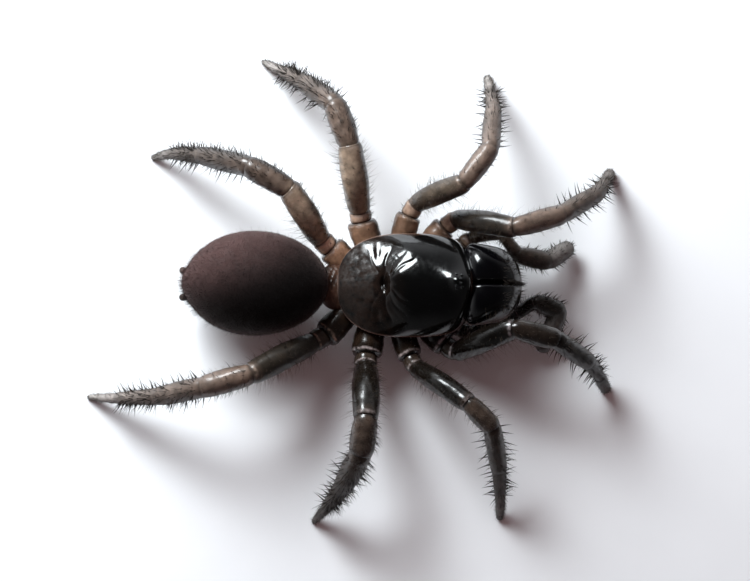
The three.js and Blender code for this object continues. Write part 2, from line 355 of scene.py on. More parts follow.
def smooth_step(value, start, end):
    """An even rise from 0 at start to 1 at end."""
    share = np.clip((value - start) / (end - start), 0, 1)
    return share * share * (3 - 2 * share)


def eased(rows):
    """Shares from -1 to 1 that lie closer together towards both ends."""
    return -np.cos(np.pi * (np.arange(rows) + 0.5) / rows)


def turns(columns):
    """Even angles once round."""
    return 2 * np.pi * np.arange(columns) / columns


def spokes(first, second, columns):
    """Directions once round in the plane of a first and a second direction, for each row of them."""
    angle = turns(columns)[:, None]
    return first[:, None] * np.cos(angle) + second[:, None] * np.sin(angle)


def body_grid(rows, columns):
    """Length share from -1 at the rear to 1 at the front, and the cosine and the sine of the angle round the
    body, as three grids."""
    along, angle = np.meshgrid(eased(rows), turns(columns), indexing="ij")
    return along, np.cos(angle), np.sin(angle)


print("shell helpers ready")

# %% [markdown]
# Hairs and spines are the same thing at different sizes: a thin cone that leaves the skin at an angle and
# bends towards the tip of the limb. Blender's own hair isn't a mesh, so each strand is a small closed cone of
# three or four sides, and thousands of them come out of one array calculation.

# %% Strands
STRAND_JITTER = 0.15
STRAND_FLOOR = 0.03
STRAND_CEILING = solid_box[1][2] / MM + 0.14


def strands(roots, ways, bends, lengths, width, tones, sink=0, rows=2, sides=3):
    """Closed tapering cones: centre = root + length * (way * s + bend * s squared), and the radius falls
    evenly from width at s = 0 to nothing at the tip, s = 1. Roots are sunk into the skin. A strand is left
    out if its tip would touch the floor or stand higher than the solids allow."""
    bends = np.broadcast_to(bends, ways.shape)
    heights = (roots + lengths[:, None] * (ways + bends))[:, 2]
    kept = (heights > STRAND_FLOOR) & (heights < STRAND_CEILING)
    roots, ways, bends, lengths, tones = (part[kept] for part in (roots - sink, ways, bends, lengths, tones))
    count = len(roots)
    share = np.arange(rows) / rows
    helper = np.where(np.abs(ways[:, 2:]) < 0.9, [[0.0, 0.0, 1.0]], [[1.0, 0.0, 0.0]])
    first = unit(np.cross(helper, ways))
    second = np.cross(ways, first)
    rim = spokes(first, second, sides)
    reach = ways[:, None] * share[:, None] + bends[:, None] * share[:, None] ** 2
    centres = roots[:, None] + lengths[:, None, None] * reach
    thickness = width * (1 - share)[:, None, None]
    rings = centres[:, :, None] + rim[:, None] * thickness
    tips = roots + lengths[:, None] * (ways + bends)
    points = np.concatenate([rings.reshape(count, -1, 3), tips[:, None]], axis=1)
    index, turned, quads = ring_faces(rows, sides)
    tip_fan = np.stack([index[-1], turned[-1], np.full(sides, rows * sides)], axis=-1)
    base = index[0, ::-1][None]
    if sides == 3:
        tip_fan = np.concatenate([tip_fan, base])
    else:
        quads = np.concatenate([quads, base])
    starts = (np.arange(count) * (rows * sides + 1))[:, None, None]
    return {
        "points": points.reshape(-1, 3),
        "quads": (quads + starts).reshape(-1, 4),
        "triangles": (tip_fan + starts).reshape(-1, 3),
        "marks": {"tone": np.repeat(tones, rows * sides + 1)},
    }


print("strand helper ready")

# %% [markdown]
# The shield is smooth, hard and nearly black: the raised head part is darkest, and the thin rear and the rim
# let a little brown through. Marks on the points say where each of these lies. A clear coat gives the sharp
# window reflections; it wears off towards the rear, where the skin is dull.

# %% Shield finish
HEAD_BLACK = (0.0015, 0.0015, 0.0015)
THORAX_BROWN = (0.0145, 0.0083, 0.006)
RIM_BROWN = (0.2, 0.125, 0.1)

shield_finish, tree, shader = open_finish("shield_chitin")
shield_rear = reckon(tree, "MULTIPLY", mark(tree, "rear"), blotches(tree, 1900, 0.0, 1.7))
shield_colour = blend_colours(tree, shield_rear, HEAD_BLACK, THORAX_BROWN)
shield_dull = mark(tree, "dull")
shield_grain = blotches(tree, 3200, 0.2, 0.9)
shield_polish = blotches(tree, 1200, 0.1, 0.2)
fill(tree, shader, {
    "Base Color": blend_colours(tree, mark(tree, "rim"), shield_colour, RIM_BROWN),
    "Roughness": reckon(tree, "MULTIPLY_ADD", shield_dull, shield_grain, shield_polish),
    "Coat Weight": carried(tree, shield_dull, {"To Min": 0.6, "To Max": 0.0}),
    "Normal": pores(tree, 9000, 0.06),
    "Coat Roughness": 0.05,
})
print("finish", shield_finish.name)

# %% [markdown]
# The head shield is a low roof with a square front. From a crosswise pit the head fans out and rises to the
# eye mound, and furrows run from the pit like spokes. A height formula over a rounded outline gives the
# whole form, and every feature is one more term in it. The slopes matter: they decide where the window shows.

# %% Head shield
SHIELD = Sizes(
    middle_x=2.82, half_length=3.47, half_width=2.68, rim_z=2.55,
    front_power=3.5, rear_power=2.4, tall_power=6, thorax_rise=1.0, roof_power=1.3,
    ridge_rounding=0.15, belly_drop=0.1, head_rise=0.75, head_run=0.75,
    crown_rise=0.6, crown_width=0.8,
)
PIT = Sizes(x=1.76, y=0.0, rise=-0.3, long=0.16, wide=0.42)
EYE_MOUND = Sizes(x=5.45, y=0.0, rise=0.16, long=0.34, wide=0.34)
DIMPLE = Sizes(x=1.43, y=1.68, rise=-0.07, long=0.17, wide=0.4)
SHOULDER = Sizes(x=2.9, y=2.15, rise=0.3, long=0.9, wide=0.9)
SPOKE_TURNS = np.radians([0, 42, 51, 60, 71, 82, 99, 117, 140])
SPOKE_CREASES = [0, 1, 0, 0.8, 0, 1, 0, 1, 0]
SPOKE_DEPTH = 0.05
SPOKE_WAVER = 0.07
SPOKE_START = (0.25, 0.8)
SPOKE_END = (1.5, 2.4)
HEAD_FANS = np.radians([(20, 160), (30, 85)])
CROWN_RUN = (3.7, 7.0)
DOME_RUN = (2.4, 6.2)
RIPPLE = 0.0025
REAR_RUN = (-0.75, 0.1)
SIDE_RUN = (0.1, 0.4)
DULL_LEFT = np.radians([112, 124])
DULL_RIGHT = np.radians([85, 150])
DULL_RUN = (0.4, 0.9)
RIM_SHADE = 0.8
RIM_REACH = 0.2


def around_pit(x, y):
    """The distance from the pit, and the angle away from straight ahead, the same on both sides."""
    return np.hypot(x - PIT.x, y - PIT.y), np.arctan2(np.abs(y - PIT.y), x - PIT.x)


def swell(spot, x, y):
    """A bell-shaped rise or hollow, with its own length and width, the same on both sides."""
    return spot.rise * np.exp(-((x - spot.x) / spot.long) ** 2 - ((np.abs(y) - spot.y) / spot.wide) ** 2)


def head_height(x, y):
    """The head rises with the distance from the pit and levels off. Two fans over the angle let it down to the
    sides, and a crown, a bell across that grows towards the front, lies on top."""
    away, turn = around_pit(x, y)
    fans = sum(smooth_step(turn, *fan) for fan in HEAD_FANS)
    rise = SHIELD.head_rise * (1 - np.exp(-away / SHIELD.head_run))
    crown = smooth_step(x, *CROWN_RUN) * np.exp(-(y / SHIELD.crown_width) ** 2)
    return rise * (1 - fans / 2) + SHIELD.crown_rise * crown


def furrows(x, y):
    """Depth of the spokes round the pit: the share of the way to a spoke, to a high power, is a crease. It
    wavers with the distance, and starts and ends softly."""
    away, turn = around_pit(x, y)
    waver = SPOKE_WAVER * np.sin(3.5 * away + 1)
    reach = smooth_step(away, *SPOKE_START) * (1 - smooth_step(away, *SPOKE_END))
    return SPOKE_DEPTH * reach * np.interp(turn + waver, SPOKE_TURNS, SPOKE_CREASES) ** 4


def shield_surface(along, across, above):
    """x runs with the length share; y is the rounded outline's half width times the cosine; z is the rim
    plus a roof that turns into a dome in front, plus the sine times head, shoulders and eye mound, less pit,
    dimples and furrows; the underside is nearly flat."""
    share = superellipse(along, np.where(along > 0, SHIELD.front_power, SHIELD.rear_power))
    tall = superellipse(along, np.where(along > 0, SHIELD.tall_power, SHIELD.rear_power))
    x = SHIELD.middle_x + SHIELD.half_length * along
    y = SHIELD.half_width * share * across
    swells = sum(swell(spot, x, y) for spot in (PIT, EYE_MOUND, DIMPLE, SHOULDER))
    ripple = RIPPLE * np.sin(13 * x + 2 * np.sin(4 * y)) * np.sin(11 * y + 2 * np.sin(5 * x))
    front = smooth_step(x, *DOME_RUN)
    ridge = SHIELD.ridge_rounding * (1 - np.abs(across))
    roof = (1 - front) * (1 - np.hypot(across, ridge) ** SHIELD.roof_power) + front * above
    relief = head_height(x, y) * np.sqrt(tall) + swells + (1 - front) * ripple - furrows(x, y)
    top = SHIELD.thorax_rise * tall * roof + above * relief
    z = SHIELD.rim_z + np.where(above < 0, SHIELD.belly_drop * share * above, top)
    rear = np.maximum(1 - smooth_step(along, *REAR_RUN), 1 - smooth_step(np.abs(above), *SIDE_RUN))
    away, turn = around_pit(x, y)
    dull_from, dull_to = (np.where(y > 0, left, right) for left, right in zip(DULL_LEFT, DULL_RIGHT))
    dull = smooth_step(turn, dull_from, dull_to) * smooth_step(away, *DULL_RUN)
    edge = np.minimum(np.abs(above), np.sqrt(1 - along ** 2))
    marks = {"rear": rear, "dull": dull, "rim": RIM_SHADE * np.exp(-(edge / RIM_REACH) ** 4)}
    return np.stack([x, y, z], axis=-1), marks


shield_rings, shield_marks = shield_surface(*body_grid(230, 320))
add_piece("head_shield", closed_shell(shield_rings, shield_marks), shield_finish, "carapace")

# %% [markdown]
# The jaws, the fangs and the eyes are the shiniest pieces, a wet-looking black. They share one finish: almost
# no colour, faint blotches in the roughness so that a reflection isn't perfect, and a full clear coat on top.

# %% Jaw finish
JAW_BLACK = (0.0006, 0.0006, 0.001)
JAW_BROWN = (0.0014, 0.0012, 0.0016)

jaw_finish, tree, shader = open_finish("jaw_black")
fill(tree, shader, {
    "Base Color": blend_colours(tree, blotches(tree, 900, 0.0, 0.8), JAW_BLACK, JAW_BROWN),
    "Roughness": blotches(tree, 1500, 0.14, 0.28),
    "Normal": pores(tree, 7000, 0.08),
    "Specular IOR Level": 0.25,
    "Coat Weight": 1.0,
    "Coat Roughness": 0.11,
})
print("finish", jaw_finish.name)

# %% [markdown]
# Eight small eyes sit close together on the mound at the front of the shield. Each is a bead that sinks into
# the mound by half. They are one piece, because eight near-equal beads need no nodes of their own.

# %% Eyes
SIDES = ((1, "left"), (-1, "right"))
EYE_PAIRS = [(5.66, 0.1, 0.075), (5.72, 0.31, 0.085), (5.42, 0.24, 0.06), (5.44, 0.36, 0.075)]


def bead(middle, radius, rows=10, columns=14):
    """A ball: the ring radius is the sine of the way from one pole to the other."""
    along, across, above = body_grid(rows, columns)
    ring = np.sqrt(1 - along ** 2)
    return closed_shell(middle + radius * np.stack([along, ring * across, ring * above], axis=-1), {})


def shield_height(x, y):
    """Height of the shield above a place: its outline's half width at x gives the sine that y leaves over."""
    along = (x - SHIELD.middle_x) / SHIELD.half_length
    share = superellipse(along, SHIELD.front_power)
    across = y / (SHIELD.half_width * share)
    points, _ = shield_surface(np.array([along]), np.array([across]), np.array([math.sqrt(1 - across ** 2)]))
    return points[0, 2]


eye_spots = [(x, side * y, radius) for x, y, radius in EYE_PAIRS for side, _ in SIDES]
eye_beads = [bead(np.array([x, y, shield_height(x, y)]), radius) for x, y, radius in eye_spots]
add_piece("eyes", joined(eye_beads), jaw_finish)

# %% [markdown]
# The two jaw bases stand side by side in front of the shield, each a stout rounded block with a flattened
# inner side, so that no gap shows between them. They narrow and droop towards the front. One formula makes
# both, mirrored.

# %% Jaw bases
JAW = Sizes(
    middle_x=7.36, middle_z=2.86, inner_y=0.004,
    half_length=1.5, width=1.98, half_height=1.34,
    crest=0.31, inner_flatness=0.24, droop=0.25, narrowing=0.12, under_narrowing=0.34,
    front_power=2.2, rear_power=6, top_rear_power=2.0,
)


def jaw_surface(along, across, above, side):
    """A rounded block along x: its width shrinks towards the front and underneath, its crest lies nearer to
    the inner side, which a power of the cosine flattens, and its middle line droops with the length share."""
    taper = 1 - JAW.narrowing * along
    wide = superellipse(along, np.where(along > 0, JAW.front_power, JAW.rear_power))
    tall = superellipse(along, np.where(along > 0, JAW.front_power, JAW.top_rear_power))
    width = JAW.width * wide * taper
    height = JAW.half_height * tall * taper
    under = 1 - JAW.under_narrowing * np.maximum(0, -above)
    inward = JAW.crest * np.abs(across) ** JAW.inner_flatness
    outward = (1 - JAW.crest) * np.abs(across) * under
    x = JAW.middle_x + JAW.half_length * along
    y = side * (JAW.inner_y + width * (JAW.crest + np.where(side * across < 0, -inward, outward)))
    z = JAW.middle_z - JAW.droop * along + height * above
    return np.stack([x, y, z], axis=-1)


for side, side_name in SIDES:
    jaw_rings = jaw_surface(*body_grid(70, 72), side)
    add_piece("jaw_" + side_name, closed_shell(jaw_rings, {}), jaw_finish, "chelicera_" + side_name)

# %% [markdown]
# A fang folds back under each jaw, and a short finger ends each side of the abdomen. Both are tapering rods
# along a curve of three points, so one sweep serves for both.

# %% Fangs
FANG_WAY = np.array([(8.2, 0.62, 1.5), (7.9, 0.56, 0.65), (6.75, 0.5, 0.9)])
FANG_RADII = (0.24, 0.03)


def sided(way, side, middle_y=0.0):
    """The points of a way, on the left (1) or the right (-1) of a middle line."""
    return way * (1, side, 1) + (0, middle_y, 0)


def swept_rod(start, bend, end, root_radius, tip_radius, rows=28, columns=20):
    """A rod along a quadratic curve: its radius goes evenly from root to tip and rounds off at both ends."""
    share = (1 + eased(rows)) / 2
    s = share[:, None]
    path = (1 - s) ** 2 * start + 2 * s * (1 - s) * bend + s ** 2 * end
    way = unit((1 - s) * (bend - start) + s * (end - bend))
    side = unit(np.cross([0, 0, 1], way))
    back = np.cross(way, side)
    radius = (root_radius + (tip_radius - root_radius) * share) * superellipse(2 * share - 1, 8)
    return closed_shell(path[:, None] + radius[:, None, None] * spokes(side, back, columns), {})


for side, side_name in SIDES:
    fang_shell = swept_rod(*sided(FANG_WAY, side), *FANG_RADII)
    add_piece("fang_" + side_name + "_skin", fang_shell, jaw_finish, "fang_" + side_name)

# %% [markdown]
# The plate under the front body is seldom seen, yet the spider can be turned over. A soft waist, wrinkled
# and orange-brown, fills the gap between the shield and the abdomen. Both are flat pebbles with blotches.

# %% Under plate and waist
PEBBLE_POWER = 2.4
PLATE = (np.array([2.4, 0, 1.6]), np.array([2.5, 1.3, 0.8]), 0.0)
WAIST = (np.array([-0.72, 0, 1.95]), np.array([0.85, 1.2, 0.5]), 0.08)
BELLY_DARK = (0.014, 0.009, 0.007)
BELLY_PALE = (0.045, 0.028, 0.021)
WAIST_DARK = (0.03, 0.014, 0.009)
WAIST_PALE = (0.14, 0.068, 0.043)


def soft_finish(name, dark, pale, strength):
    """A half matt brown that wanders from dark to pale, with pores of a given strength."""
    finish, tree, shader = open_finish(name)
    fill(tree, shader, {
        "Base Color": colour_ramp(tree, blotches(tree, 1100, 0, 1), [(0, dark), (1, pale)]),
        "Roughness": blotches(tree, 1700, 0.3, 0.55),
        "Normal": pores(tree, 6000, strength),
    })
    return finish


def pebble(middle, half, wrinkle):
    """A flat pebble: half width and half height follow one rounded outline, the height more bluntly, and a
    wrinkle of crossed waves swells the height."""
    along, across, above = body_grid(60, 72)
    share = superellipse(along, PEBBLE_POWER)
    waves = 1 + wrinkle * np.sin(19 * along + 4 * across) * np.sin(14 * across)
    thick = superellipse(1 - share, PEBBLE_POWER) * above * waves
    return closed_shell(middle + half * np.stack([along, share * across, thick], axis=-1), {})


belly_finish = soft_finish("belly_brown", BELLY_DARK, BELLY_PALE, 0.3)
waist_finish = soft_finish("waist_skin", WAIST_DARK, WAIST_PALE, 0.6)
add_piece("under_plate", pebble(*PLATE), belly_finish, "sternum")
add_piece("waist", pebble(*WAIST), waist_finish, "pedicel")

# %% [markdown]
# The abdomen is covered in a short dark nap, like velvet: nearly black where it faces the camera and lighter
# where the light grazes it. The shader's sheen gives part of that glow; the rest is painted light, as the
# flank that faces the lamps is painted paler. Real short hairs give the soft outline.

# %% Velvet finish
VELVET_DARK = (0.0015, 0.001, 0.001)
VELVET_LIT = (0.055, 0.03, 0.028)
NAP_LIT = (0.108, 0.062, 0.059)

velvet_finish, tree, shader = open_finish("velvet")
# Painted light: the flank that faces the lamps is painted paler.
velvet_lit_share = reckon(tree, "MULTIPLY", mark(tree, "brushed"), blotches(tree, 1500, 0.7, 1.1))
fill(tree, shader, {
    "Base Color": blend_colours(tree, velvet_lit_share, VELVET_DARK, VELVET_LIT),
    "Roughness": blotches(tree, 2500, 0.65, 0.9),
    "Normal": pores(tree, 9000, 0.5),
    "Specular IOR Level": 0.2,
    "Sheen Weight": 0.25,
    "Sheen Roughness": 0.4,
    "Sheen Tint": (1.0, 0.72, 0.68, 1),
})


def hair_finish(name, dark, pale):
    """Hair that goes from dark to pale by each strand's own tone."""
    finish, tree, shader = open_finish(name)
    colour = colour_ramp(tree, mark(tree, "tone"), [(0, dark), (1, pale)])
    fill(tree, shader, {"Base Color": colour, "Roughness": 0.5, "Specular IOR Level": 0.3})
    return finish


nap_finish = hair_finish("nap_hair", VELVET_DARK, NAP_LIT)
print("finishes", velvet_finish.name, nap_finish.name)

# %% [markdown]
# The abdomen is an egg with a drawn-out rear end. Its nap stands nearly upright, which is what makes velvet
# dark when seen from above and pale at a grazing angle. Roots are spread at random over the whole skin, and
# each hair tips a little to the rear, where many are longer and make a fringe. The flank that faces the
# lamps is painted paler, on skin and nap alike: a painted light.

# %% Abdomen
EGG_MIDDLE = np.array([-4.85, 0.08, 2.86])
EGG_HALF = np.array([3.75, 2.66, 2.43])
EGG_FRONT = (1.95, 1.95)
EGG_REAR = (2.2, 1.6)
NAP_COUNT = 30000
NAP_SPAN = (-0.998, 0.99)
NAP_LONG_SHARE = 0.02
FRINGE_SHARE = 0.3
FRINGE_RUN = (0.3, 0.95)
NAP_LENGTHS = (0.04, 0.1)
NAP_LONGER = 4
NAP_WIDTH = 0.0055
NAP_TONES = (0.85, 1)
NAP_TIPPED = [-0.2, 0, 0]
NAP_BEND = [-0.15, 0.0, 0.0]
# The lamp side: the flank of the abdomen that faces it is painted paler, a painted light.
LIT_SIDE_WAY = unit(np.array([-0.62, 0.68, 0.34]))
LIT_SIDE_RUN = (-0.1, 1)
LIT_SIDE_POWER = 1.5


def egg_surface(along, across, above):
    """Half width and half height follow one outline: one less the length share to the power of the swell,
    and the root of that by the point, with one pair of powers in front and another behind."""
    swell, point = (np.where(along > 0, front, rear) for front, rear in zip(EGG_FRONT, EGG_REAR))
    share = (1 - np.abs(along) ** swell) ** (1 / point)
    return EGG_MIDDLE + EGG_HALF * np.stack([along, share * across, share * above], axis=-1)


def egg_outward(points):
    """The direction out of the skin, from the gradient of the plain ellipsoid through it."""
    return unit((points - EGG_MIDDLE) / EGG_HALF ** 2)


def brushed(points):
    """Painted light: how much paler a place is painted for facing the lamps, from the cosine to the lamp side,
    eased and raised to a power.
    """
    return smooth_step(egg_outward(points) @ LIT_SIDE_WAY, *LIT_SIDE_RUN) ** LIT_SIDE_POWER


egg_rings = egg_surface(*body_grid(80, 96))
egg_shell = closed_shell(egg_rings, {"brushed": brushed(egg_rings)})
add_piece("abdomen_skin", egg_shell, velvet_finish, "abdomen")

nap_along = chance.uniform(*NAP_SPAN, NAP_COUNT)
nap_angle = chance.uniform(0, 2 * np.pi, NAP_COUNT)
nap_roots = egg_surface(nap_along, np.cos(nap_angle), np.sin(nap_angle))
nap_ways = unit(egg_outward(nap_roots) + NAP_TIPPED + chance.normal(0, STRAND_JITTER, (NAP_COUNT, 3)))
nap_rear = smooth_step(-egg_outward(nap_roots)[:, 0], *FRINGE_RUN)
nap_is_long = chance.uniform(0, 1, NAP_COUNT) < NAP_LONG_SHARE + FRINGE_SHARE * nap_rear
nap_lengths = chance.uniform(*NAP_LENGTHS, NAP_COUNT) * np.where(nap_is_long, NAP_LONGER, 1)
# Painted light: hairs on the flank that faces the lamps are painted paler.
nap_lit_tones = brushed(nap_roots) * chance.uniform(*NAP_TONES, NAP_COUNT)
nap_shell = strands(nap_roots, nap_ways, NAP_BEND, nap_lengths, NAP_WIDTH, nap_lit_tones, rows=1)
add_piece("abdomen_nap", nap_shell, nap_finish)

# %% [markdown]
# Two short fingers at the rear end carry the silk. They taper, point back and upwards, and share the brown of
# the under side.

# %% Silk fingers
FINGER_WAY = np.array([(-7.4, 0.42, 0.97), (-8.1, 0.55, 1.33), (-8.7, 0.72, 1.92)])
FINGER_RADII = (0.27, 0.19)
FINGER_MIDDLE_Y = 0.15

for side, side_name in SIDES:
    finger = swept_rod(*sided(FINGER_WAY, side, FINGER_MIDDLE_Y), *FINGER_RADII)
    add_piece("silk_finger_" + side_name, finger, belly_finish, "spinneret_" + side_name)

# %% [markdown]
# A leg changes colour along its length: orange-brown near the body, olive brown on the thigh, darker in the
# middle and grey at the foot. A mark called reach runs from root to tip, and a ramp over it gives the colour.
# Pale rims and dark gaps at the joints are marks as well, and so are the dark fronts of two legs. Each leg has
# its own tones for hip, thigh and shin, which paint light and shade: lighter on the lamp side, darker on the
# far side. A leg is also painted darker at its edges, where the eye looks along the skin: a painted shade.

# %% Leg finish
HIP_END = 0.286
THIGH_END = 0.43
SHIN_END = 0.85
LEG_COLOURS = [
    (0.0, (0.18, 0.094, 0.053)), (0.13, (0.17, 0.096, 0.06)), (0.17, (0.38, 0.25, 0.177)),
    (0.28, (0.35, 0.232, 0.172)), (0.295, (0.2, 0.146, 0.104)), (0.415, (0.21, 0.156, 0.113)),
    (0.442, (0.178, 0.121, 0.092)), (0.64, (0.134, 0.1, 0.082)), (0.72, (0.175, 0.138, 0.118)),
    (0.82, (0.28, 0.236, 0.212)), (0.9, (0.4, 0.362, 0.34)), (1.0, (0.46, 0.43, 0.4)),
]
RIM_PALE = np.array([0.55, 0.4, 0.3])
RIM_GREY = np.array([0.42, 0.37, 0.39])
GAP_DARK = (0.006, 0.004, 0.003)
PAINTED_EDGE_SHADE = 0.9
DULL_FROM = 0.58
DULL_TO = 0.76
BRISTLE_DARK = (0.008, 0.006, 0.005)
BRISTLE_PALE = (0.2, 0.15, 0.11)


def leg_finish(name, tones):
    """Chitin coloured along the limb, with pale joint rims, dark gaps and a dark front. Its tones paint
    light and shade, and its edges get a painted shade. The skin grows rougher towards the foot, and a pale
    limb loses its clear coat there."""
    finish, tree, shader = open_finish(name)
    # The tones and the paleness paint light and shade: lighter on the lamp side, darker on the far side.
    paleness = tones[-1]
    foot_tone = 0.15 + 0.8 * paleness
    stops = []
    for position, colour in LEG_COLOURS:
        stage = sum(position > end for end in (HIP_END, THIGH_END, SHIN_END))
        strength = (*tones, foot_tone)[stage]
        stops.append((position, tuple(strength * part for part in colour)))
    colour = colour_ramp(tree, mark(tree, "reach"), stops)
    colour = blend_colours(tree, 1, colour, blotches(tree, 1800, 0.55, 1.3), "MULTIPLY")
    rim = RIM_GREY + (RIM_PALE - RIM_GREY) * paleness
    worn_rim = reckon(tree, "MULTIPLY", mark(tree, "rim"), blotches(tree, 3000, -0.5, 1.3))
    colour = blend_colours(tree, worn_rim, colour, tuple(rim))
    colour = blend_colours(tree, mark(tree, "gap"), colour, GAP_DARK)
    colour = blend_colours(tree, mark(tree, "front"), colour, GAP_DARK)
    # Painted shade: the colour darkens towards the edges, where the eye looks along the skin.
    grazing = place(tree, "ShaderNodeLayerWeight", {"Blend": 0.5}).outputs["Facing"]
    edge = carried(tree, grazing, {"From Min": 0.3, "To Max": PAINTED_EDGE_SHADE})
    dull = carried(tree, mark(tree, "reach"), {"From Min": DULL_FROM, "From Max": DULL_TO})
    grain = blotches(tree, 2400, 0.14 + 0.2 * paleness, 0.28 + 0.2 * paleness)
    coats = {"To Min": 0.4 - 0.15 * min(paleness, 1), "To Max": max(0.05, 0.6 - 2 * paleness)}
    fill(tree, shader, {
        "Base Color": blend_colours(tree, edge, colour, GAP_DARK),
        "Roughness": reckon(tree, "MULTIPLY_ADD", dull, 0.25, grain),
        "Coat Weight": carried(tree, dull, coats),
        "Normal": pores(tree, 8000, 0.06 + 0.14 * paleness),
        "Coat Roughness": 0.05,
    })
    return finish


bristle_finish = hair_finish("bristle", BRISTLE_DARK, BRISTLE_PALE)
print("leg colours:", len(LEG_COLOURS))

# %% [markdown]
# The places of the joints are the same as in the solids, from the root under the shield to the tip. Each
# limb has its own stoutness, and a paleness for its hip, its thigh and its shin. These paint light and shade:
# the left legs, on the lamp side, are painted lighter, and the right legs darker.

# %% Limbs
# Second column: hip, thigh and shin tones and paleness, a painted light and shade per limb.
LIMBS = {
    "leg_1_left": (0.92, (1.0, 0.09, 0.74), [
        (3.45, 1.55, 1.45), (4.9, 3.1, 1.7), (5.45, 3.5, 1.95), (8.4, 2.75, 4.5),
        (10.85, 3.45, 4.3), (12.75, 4.75, 2.6), (13.3, 5.6, 1.1), (13.6, 6.2, -0.02)]),
    "leg_2_left": (0.9, (0.95, 0.38, 0.95), [
        (2.35, 1.5, 1.45), (3.05, 3.7, 1.7), (3.4, 4.3, 1.95), (5.85, 5.05, 4.4),
        (7.2, 6.85, 4.2), (7.4, 9.15, 2.5), (7.3, 10.35, 1.1), (7.15, 11.25, -0.02)]),
    "leg_3_left": (1.06, (1.25, 1.75, 0.68), [
        (1.2, 1.45, 1.45), (0.6, 3.4, 1.7), (0.5, 3.95, 1.95), (0, 7.05, 4.3),
        (-0.75, 9.15, 4.1), (-2.35, 10.55, 2.4), (-3.6, 11.4, 1), (-4.6, 12.05, -0.02)]),
    "leg_4_left": (1.03, (2.8, 2.2, 0.5), [
        (0.14, 1.05, 1.45), (-1, 2, 1.7), (-1.5, 2.45, 1.95), (-3.1, 4.75, 4.6),
        (-5.1, 5.9, 4.4), (-7.55, 6.7, 2.6), (-9.25, 7.05, 1.05), (-10.35, 6.95, -0.02)]),
    "leg_1_right": (0.95, (0.05, 0.012, 0.09), [
        (3.45, -1.5, 1.45), (4.9, -3, 1.7), (5.5, -3.4, 1.95), (8.35, -2.4, 4.5),
        (10.5, -2.95, 4.3), (12.25, -3.95, 2.6), (12.9, -4.6, 1.1), (13.3, -5.25, -0.02)]),
    "leg_2_right": (0.89, (0.09, 0.02, 0.27), [
        (2.4, -1.5, 1.45), (3.1, -3.6, 1.7), (3.4, -4.2, 1.95), (6.05, -6.2, 4.4),
        (7.25, -7.4, 4.2), (7.65, -9.45, 2.4), (7.75, -10.95, 1), (7.75, -11.9, -0.02)]),
    "leg_3_right": (1.1, (0.09, 0.04, 0.27), [
        (1.2, -1.5, 1.45), (0.85, -3.5, 1.7), (0.82, -4.15, 1.95), (0.85, -6.95, 4.7),
        (0.6, -8.75, 4.5), (-0.3, -10.3, 2.8), (-1.15, -11.3, 1.15), (-1.9, -12.05, -0.02)]),
    "leg_4_right": (1.02, (0.1, 0.1, 0.85), [
        (0.2, -1, 1.45), (-1.25, -2.5, 1.7), (-1.9, -2.9, 1.95), (-5, -4.7, 4.2),
        (-7.45, -5.35, 3.9), (-9.8, -5.7, 2.3), (-12, -5.7, 1), (-13.6, -5.55, -0.02)]),
    "pedipalp_left": (1, (0.6, 0.3, 0.36), [
        (4.6, 1.05, 1.45), (5.84, 2.25, 1.55), (6.2, 2.55, 1.65), (7.85, 2.76, 1.95),
        (8.65, 1.64, 2), (10.25, 1.35, 1.4), (11.5, 2.3, 0.45)]),
    "pedipalp_right": (1, (0.08, 0.06, 0.1), [
        (4.6, -1, 1.45), (5.73, -2.2, 1.45), (6.2, -2.4, 1.45), (8.7, -1.35, 1.35),
        (9.5, -0.75, 1.6), (10.85, -1.2, 1.4), (9.85, -3.25, 0.45)]),
}
print(len(LIMBS), "limbs")

# %% [markdown]
# A limb is one skin from root to tip. Its middle line goes straight from joint to joint and rounds each
# corner, so the skin doesn't fold on the inside of a knee. A thigh also arches upwards. The radius is a gentle
# swell along each segment, with shallow lumps and a narrow neck at each joint.

# %% Limb shape
LEG_RADII = np.array([
    (0.5, 0.7, 0.72), (0.52, 0.54, 0.53), (0.52, 0.65, 0.57), (0.52, 0.61, 0.56),
    (0.52, 0.54, 0.47), (0.43, 0.37, 0.29), (0.29, 0.25, 0.15)])
PALP_RADII = np.array([
    (0.42, 0.5, 0.46), (0.4, 0.42, 0.4), (0.36, 0.34, 0.32), (0.32, 0.33, 0.38),
    (0.42, 0.5, 0.46), (0.45, 0.47, 0.37)])
LEG_STAGES = np.arange(7)
PALP_STAGES = np.array([0, 1, 2, 3, 4, 6])
KNEE_ROUNDING = 0.34
NECK_DEPTHS = np.array([0.08, 0.08, 0.05, 0.03, 0.03, 0.02, 0])
NECK_WIDTH = 0.08
RIM_STRENGTHS = np.array([0.85, 0.75, 0.55, 0.1, 0.05, 0, 0])
RIM_WIDTHS = np.array([0.1, 0.09, 0.04, 0.03, 0.03, 0.03, 0.03])
FOOT_SLIMNESS = [1.6, 1.1, 0.64, 0.66]
ARCHES = np.array([0, 0, 0.3, 0, 0, 0, 0])
LUMPINESS = 0.03
ROOT_ROUNDING = 0.4
TIP_ROUNDING = 0.9
RIM_INSET = 0.03
RIM_BELOW = 0.3
GAP_GAIN = 9
GAP_DARKEST = 0.95
DARK_FRONTS = {"leg_3_left": 0.7, "leg_4_left": 0.85}
FRONT_RUN = (0.35, 0.95)


def limb_parts(name):
    """Radii, joints and colour stages of one limb. The hind legs have the slimmer feet."""
    stoutness, _, joints = LIMBS[name]
    if not name.startswith("leg"):
        return stoutness * PALP_RADII, np.array(joints), PALP_STAGES
    radii = stoutness * LEG_RADII
    slimness = FOOT_SLIMNESS[int(name[4]) - 1]
    radii[-1] = radii[-1] * [0.8 + 0.2 * slimness, 0.5 + 0.5 * slimness, slimness]
    return radii, np.array(joints), LEG_STAGES


